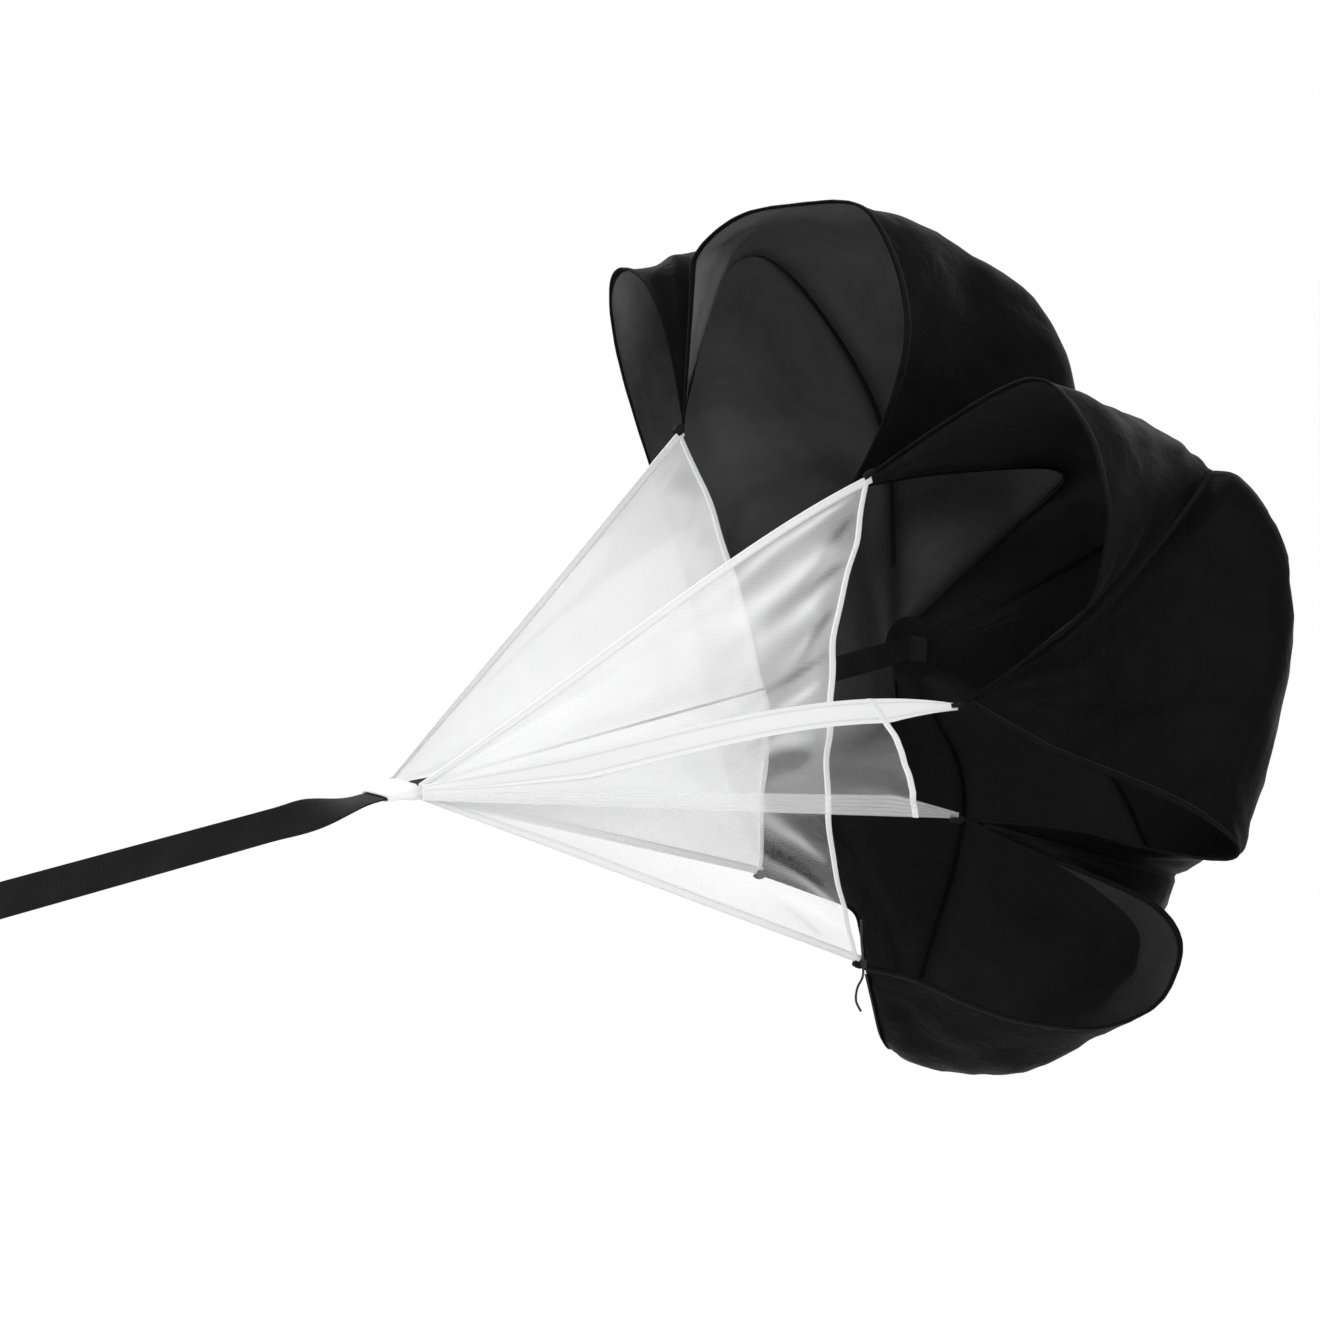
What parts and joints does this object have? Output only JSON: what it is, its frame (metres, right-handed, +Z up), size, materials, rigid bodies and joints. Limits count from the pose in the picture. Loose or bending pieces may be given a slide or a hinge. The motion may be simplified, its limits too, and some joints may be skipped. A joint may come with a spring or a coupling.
{
  "type": "speed parachute",
  "caption": "Black cloth canopy of open lobes on white see-through mesh gores, gathered on a flat black tow strap with a snap hook.",
  "frame": {"origin": "the inside of the snap hook's bow, where a belt ring pulls, on the tow line", "axes": "+X runs along the tow line from the runner's belt to the canopy, +Z is up, +Y is away from the camera"},
  "size_m": [1.6232, 0.892, 1.0408],
  "materials": {
    "nylon": "thin coated cloth with a low sheen",
    "binding": "woven edge tape",
    "mesh": "fine see-through mesh",
    "tape": "folded white hem",
    "webbing": "flat woven strap",
    "cord": "thin round cord",
    "steel": "plated"
  },
  "bodies": {
    "parachute": {"far_top_lobe": "nylon", "near_top_lobe": "nylon", "near_side_lobe": "nylon", "near_low_lobe": "nylon", "far_low_lobe": "nylon", "far_side_lobe": "nylon", "crown_patch": "nylon", "far_top_binding": "binding", "near_top_binding": "binding", "near_side_binding": "binding", "near_low_binding": "binding", "far_low_binding": "binding", "far_side_binding": "binding", "far_gore": "mesh", "mid_gore": "mesh", "near_gore": "mesh", "far_hem_tape": "tape", "mid_hem_tape": "tape", "near_hem_tape": "tape", "far_upper_tape": "tape", "far_lower_tape": "tape", "mid_upper_tape": "tape", "mid_lower_tape": "tape", "near_upper_tape": "tape", "near_lower_tape": "tape", "gather_cuff": "tape", "top_far_tab": "webbing", "top_mid_tab": "webbing", "top_near_tab": "webbing", "low_near_tab": "webbing", "low_mid_tab": "webbing", "low_far_tab": "webbing", "corner_lacing": "cord", "tow_strap": "webbing"},
    "eye": {"strap_eye": "steel"},
    "hook": {"hook_body": "steel"},
    "bolt": {"spring_bolt": "steel", "thumb_stud": "steel"}
  },
  "joints": [
    {"name": "eye_hinge", "type": "hinge", "parent": "parachute", "child": "eye", "pos_m": [0.0843, 0, 0], "axis": [0, 0, 1], "range_deg": [-75, 75]},
    {"name": "hook_swivel", "type": "hinge", "parent": "eye", "child": "hook", "pos_m": [0.0652, 0, 0], "axis": [1, 0, 0], "continuous": true},
    {"name": "bolt_slide", "type": "slide", "parent": "hook", "child": "bolt", "axis": [1, 0, 0], "range_m": [0, 0.009], "stiffness_N_per_m": 300, "springref_m": -0.004}
  ]
}
